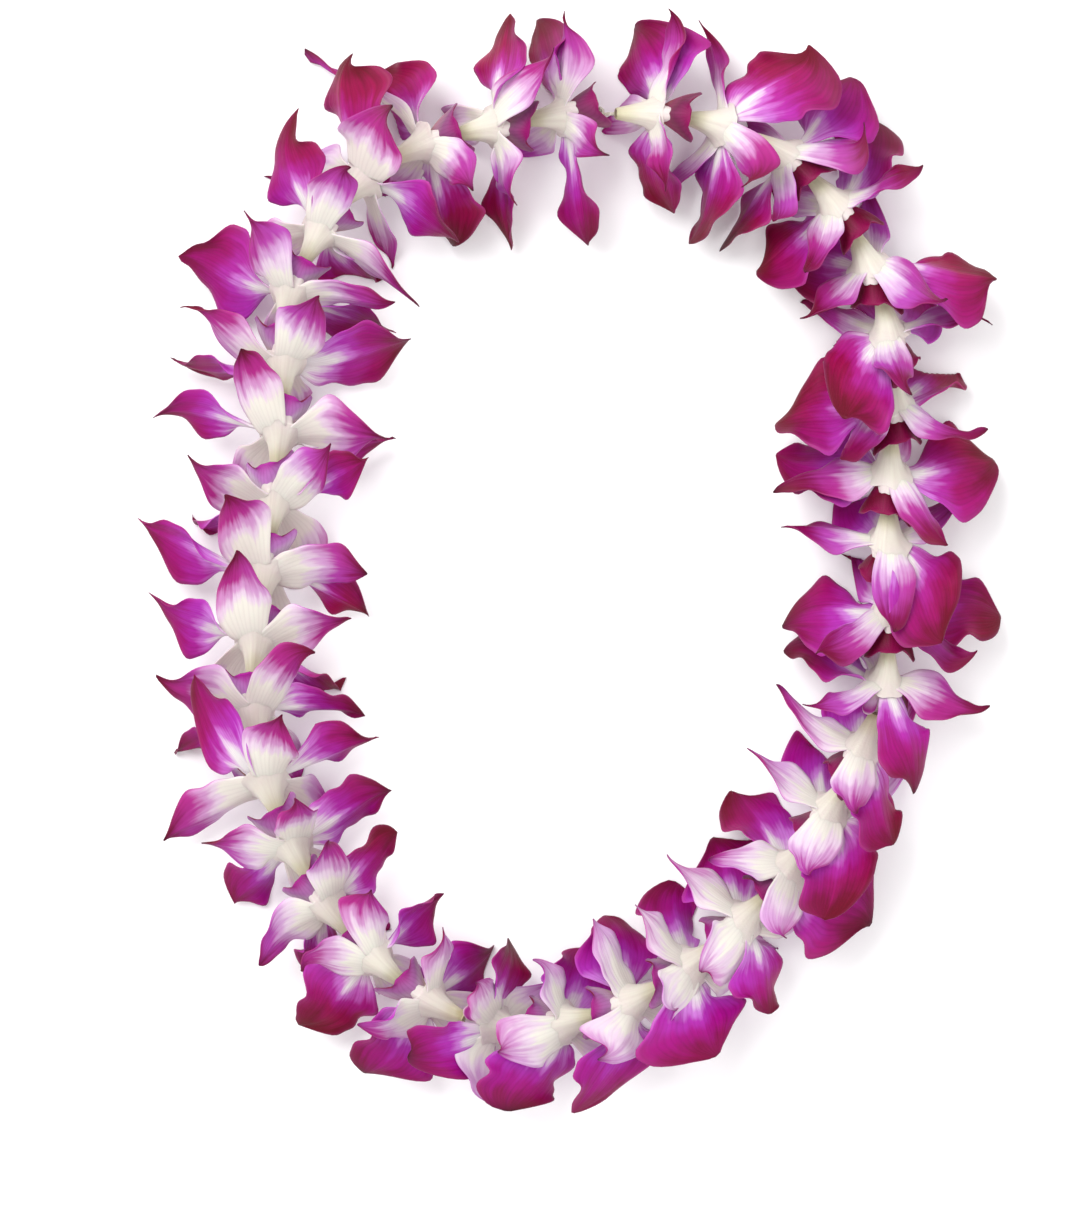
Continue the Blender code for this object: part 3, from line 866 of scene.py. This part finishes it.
LIP_DARK = (
    (0.0, (0.70, 0.34, 0.40)),
    (0.2, (0.54, 0.06, 0.28)),
    (0.45, (0.42, 0.01, 0.16)),
    (1.0, (0.56, 0.03, 0.30)),
)
LIP_INSIDE = (
    (0.0, (0.90, 0.84, 0.56)),
    (0.25, (0.66, 0.12, 0.42)),
    (0.5, (0.50, 0.02, 0.24)),
    (1.0, (0.44, 0.02, 0.18)),
)
BASE = (
    (0.0, (0.86, 0.84, 0.64)),
    (0.14, (0.94, 0.93, 0.79)),
    (0.45, (0.99, 0.98, 0.91)),
    (0.8, (0.99, 0.95, 0.93)),
    (1.0, (0.98, 0.91, 0.95)),
)
COLUMN = (
    (0.0, (0.90, 0.88, 0.76)),
    (0.5, (0.88, 0.72, 0.84)),
    (0.85, (0.72, 0.22, 0.60)),
    (1.0, (0.93, 0.84, 0.88)),
)
COTTON = (
    (0.3, (0.78, 0.74, 0.66)),
    (0.7, (0.93, 0.91, 0.86)),
)
VEIN_TINT = (0.45, 0.10, 0.35)
LIP_VEIN_TINT = (0.5, 0.1, 0.3)
BASE_VEIN_TINT = (0.84, 0.72, 0.78)
# Painted shade: the colour that streaks of darkening on the tepals multiply in, in place of the shade
# between folds
PAINTED_SHADE_TINT = (0.88, 0.66, 0.84)
RIM_TINT = (0.90, 0.50, 0.80)
LIP_RIM_TINT = (0.86, 0.62, 0.80)
TIP_TINT = (0.25, 0.03, 0.11)
FLOOR_COLOUR = (0.96, 0.96, 0.96, 1.0)

# How the markings show. A sharper one is narrower, and shares run from 0, not seen, to 1
VEIN_SHARPNESS = 3.0
VEIN_WANDER = 5.0
STREAK_SHARPNESS = 22.0
CLOUD_TONE = 0.24
CLOUD_WARMTH = 0.6
STROKE_TONE = 0.55
# How strongly the painted shade streaks darken the deeper-coloured parts of a tepal
PAINTED_SHADE_GAIN = 1.2
RIM_SHARPNESS = 14.0
RIM_SHARE = 0.14
TIP_SHARPNESS = 12.0
VEIN_RELIEF = 0.15
GRAIN_RELIEF = 0.2
ROUGHNESS = 0.34
ROUGHNESS_SPREAD = 0.18
LIP_CLOUD_TONE = 0.35
LIP_VEINS = 13
LIP_VEIN_SHARE = 0.12
LIP_VEIN_RELIEF = 0.25
LIP_RIM_SHARPNESS = 16.0
LIP_RIM_SHARE = 0.12
BASE_CLOUD_TONE = 0.3
BASE_VEIN_SHARE = 0.45
COLUMN_CLOUD_TONE = 0.2


def tepal_material(name, cool, warm, vein_count, vein_share, streak_share):
    """A petal or sepal: white heart, lilac, then magenta or crimson, with fine lengthwise veins and streaks
    of painted shade.
    """
    nodes = Nodes(name)
    along, across = nodes.attribute("along"), nodes.attribute("across")
    cloud = nodes.noise(scale=90, detail=3.0)
    strokes = nodes.streaks(across_scale=5.0, along_scale=1.6)
    middle = nodes.math("EXPONENT", nodes.times(nodes.times(across, across), -STREAK_SHARPNESS))
    middle = nodes.times(middle, nodes.math("SUBTRACT", 1.0, along))
    tone = nodes.plus(nodes.attribute("tone"), nodes.swing(cloud, CLOUD_TONE))
    tone = nodes.plus(tone, nodes.swing(strokes, STROKE_TONE))
    tone = nodes.math("SUBTRACT", tone, nodes.times(middle, streak_share))
    warmth = nodes.plus(nodes.attribute("warmth"), nodes.swing(cloud, CLOUD_WARMTH), clamp=True)
    colour = nodes.mix(warmth, nodes.ramp(tone, cool), nodes.ramp(tone, warm))
    wander = nodes.times(nodes.streaks(across_scale=3.0, along_scale=2.0, detail=1.0), VEIN_WANDER)
    veins = nodes.veins(nodes.plus(nodes.times(across, vein_count * math.pi), wander))
    colour = nodes.mix(nodes.times(veins, vein_share), colour, VEIN_TINT, "MULTIPLY")
    # Painted shade: streaky darkening along the blade, stronger where its colour is deeper, in place of the
    # shade between folds and overlaps
    painted_shade = nodes.streaks(across_scale=9.0, along_scale=1.2)
    painted_shade = nodes.times(painted_shade, nodes.times(tone, PAINTED_SHADE_GAIN, clamp=True))
    colour = nodes.mix(painted_shade, colour, PAINTED_SHADE_TINT, "MULTIPLY")
    colour = nodes.mix(nodes.times(nodes.edges(RIM_SHARPNESS), RIM_SHARE), colour, RIM_TINT)
    tip = nodes.times(nodes.math("POWER", along, TIP_SHARPNESS), nodes.attribute("dark"), clamp=True)
    colour = nodes.mix(tip, colour, TIP_TINT)
    rough = nodes.times(nodes.noise(scale=300, detail=2.0), ROUGHNESS_SPREAD)
    nodes.surface(colour, nodes.plus(rough, ROUGHNESS))
    relief = nodes.plus(nodes.times(veins, VEIN_RELIEF), nodes.streaks(across_scale=12.0, along_scale=1.5))
    grain = nodes.times(nodes.noise(scale=2600, detail=1.0), GRAIN_RELIEF)
    nodes.bump(nodes.plus(relief, grain), distance=0.00022, strength=0.5)
    nodes.flesh()
    return nodes.material


def lip_material(name, pale, dark):
    """The lip: pale at its root, then from lilac to deep maroon by how dark the bloom's lip is."""
    nodes = Nodes(name)
    cloud = nodes.swing(nodes.noise(scale=140, detail=3.0), LIP_CLOUD_TONE)
    tone = nodes.plus(nodes.attribute("along"), cloud)
    colour = nodes.mix(nodes.attribute("dark"), nodes.ramp(tone, pale), nodes.ramp(tone, dark))
    veins = nodes.veins(nodes.times(nodes.attribute("across"), LIP_VEINS * math.pi))
    colour = nodes.mix(nodes.times(veins, LIP_VEIN_SHARE), colour, LIP_VEIN_TINT, "MULTIPLY")
    colour = nodes.mix(nodes.times(nodes.edges(LIP_RIM_SHARPNESS), LIP_RIM_SHARE), colour, LIP_RIM_TINT)
    nodes.surface(colour, roughness=0.42)
    relief = nodes.plus(nodes.times(veins, LIP_VEIN_RELIEF), nodes.noise(scale=2200, detail=1.0))
    nodes.bump(relief, distance=0.00015, strength=0.5)
    nodes.flesh(depth=0.08)
    return nodes.material


def base_material(name):
    """The ovary and chin: cream white, yellow-green at the cut end, with faint pink lines."""
    nodes = Nodes(name)
    cloud = nodes.swing(nodes.noise(scale=120, detail=3.0), BASE_CLOUD_TONE)
    colour = nodes.ramp(nodes.plus(nodes.attribute("along"), cloud), BASE)
    veins = nodes.times(nodes.streaks(across_scale=5.0, along_scale=1.4), BASE_VEIN_SHARE)
    colour = nodes.mix(veins, colour, BASE_VEIN_TINT, "MULTIPLY")
    nodes.surface(colour, roughness=0.4)
    relief = nodes.streaks(across_scale=9.0, along_scale=1.5)
    relief = nodes.plus(relief, nodes.noise(scale=900, detail=2.0))
    nodes.bump(relief, distance=0.0002, strength=0.5)
    nodes.flesh(depth=0.15)
    return nodes.material


def column_material(name):
    """The column: cream at its foot, purple below the pale cap at its tip."""
    nodes = Nodes(name)
    cloud = nodes.times(nodes.noise(scale=200, detail=2.0), COLUMN_CLOUD_TONE)
    nodes.surface(nodes.ramp(nodes.plus(nodes.attribute("along"), cloud), COLUMN), roughness=0.38)
    nodes.bump(nodes.noise(scale=1200, detail=1.0), distance=0.0001, strength=0.4)
    nodes.flesh()
    return nodes.material


def cord_material(name):
    """Twisted white cotton, a little yellowed."""
    nodes = Nodes(name)
    twist = nodes.noise(scale=1800, detail=2.0, stretch=(1.0, 1.0, 0.4))
    nodes.surface(nodes.ramp(twist, COTTON), roughness=0.85)
    nodes.bump(twist, distance=0.0002, strength=0.8)
    return nodes.material


def bloom_materials():
    """The materials of a bloom, each front just before its back."""
    return {
        "petal front": tepal_material("petal_front", COOL, WARM, 21, 0.10, 0.24),
        "petal back": tepal_material("petal_back", COOL, WARM, 21, 0.12, 0.34),
        "sepal front": tepal_material("sepal_front", COOL, WARM, 13, 0.08, 0.12),
        "sepal back": tepal_material("sepal_back", SEPAL_COOL, SEPAL_WARM, 11, 0.06, 0.15),
        "lip front": lip_material("lip_inside", LIP_INSIDE, LIP_DARK),
        "lip back": lip_material("lip_outside", LIP_PALE, LIP_DARK),
        "column": column_material("column"),
        "base": base_material("base"),
    }


# The studio: a floor just under the lei, two soft round lamps, an even sky and a camera looking down
FLOOR_SIZE = 6.0
FLOOR_DROP = 0.0002
KEY_LAMP = dict(place=(-0.9, 1.0, 1.7), size=1.6, power=36)
FILL_LAMP = dict(place=(1.2, -0.6, 1.6), size=1.4, power=7)
SKY_COLOUR = (1.0, 1.0, 1.0, 1.0)
SKY_STRENGTH = 1.03
CAMERA_HEIGHT = 2.0
SENSOR_SIZE = 36.0


def add_floor():
    """A plain pale surface that the lei lies on."""
    bpy.ops.mesh.primitive_plane_add(size=FLOOR_SIZE, location=(0.0, 0.0, -FLOOR_DROP))
    floor = bpy.context.object
    floor.name = "floor"
    nodes = Nodes("floor")
    nodes.surface(FLOOR_COLOUR, roughness=0.9)
    nodes.shader.inputs["Specular IOR Level"].default_value = 0.1
    floor.data.materials.append(nodes.material)


def add_lamp(name, place, size, power):
    """A round soft lamp that shines on the middle of the lei."""
    lamp = bpy.data.lights.new(name, "AREA")
    lamp.shape = "DISK"
    lamp.size = size
    lamp.energy = power
    made = bpy.data.objects.new(name, lamp)
    bpy.context.scene.collection.objects.link(made)
    made.location = place
    made.rotation_euler = (-made.location).to_track_quat("-Z", "Y").to_euler()


def add_sky():
    sky = bpy.data.worlds.new("studio")
    sky.use_nodes = True
    background = sky.node_tree.nodes["Background"]
    background.inputs["Color"].default_value = SKY_COLOUR
    background.inputs["Strength"].default_value = SKY_STRENGTH
    bpy.context.scene.world = sky


def add_camera():
    """A camera straight above the middle of the photograph, at the photograph's scale."""
    camera = bpy.data.cameras.new("camera")
    camera.sensor_width = SENSOR_SIZE
    camera.lens = SENSOR_SIZE * (CAMERA_HEIGHT - CORD_HEIGHT) / (PHOTO_SIZE[1] * PHOTO_SCALE)
    view = bpy.data.objects.new("camera", camera)
    bpy.context.scene.collection.objects.link(view)
    view.location = (
        (PHOTO_SIZE[0] / 2 - PHOTO_MIDDLE[0]) * PHOTO_SCALE,
        (PHOTO_MIDDLE[1] - PHOTO_SIZE[1] / 2) * PHOTO_SCALE,
        CAMERA_HEIGHT,
    )
    bpy.context.scene.camera = view


def main():
    bpy.context.scene.view_settings.view_transform = "Standard"
    add_floor()
    add_lamp("key", **KEY_LAMP)
    add_lamp("fill", **FILL_LAMP)
    add_sky()
    add_camera()
    route = Route()
    pitch = (STRAND_LENGTH - KNOT_ROOM) / BLOOM_COUNT
    materials = bloom_materials()
    for index in range(BLOOM_COUNT):
        Bloom(index, route, pitch).build(materials)
    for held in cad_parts["lei_string"].material_slots:
        held.material = cord_material("cord")


main()
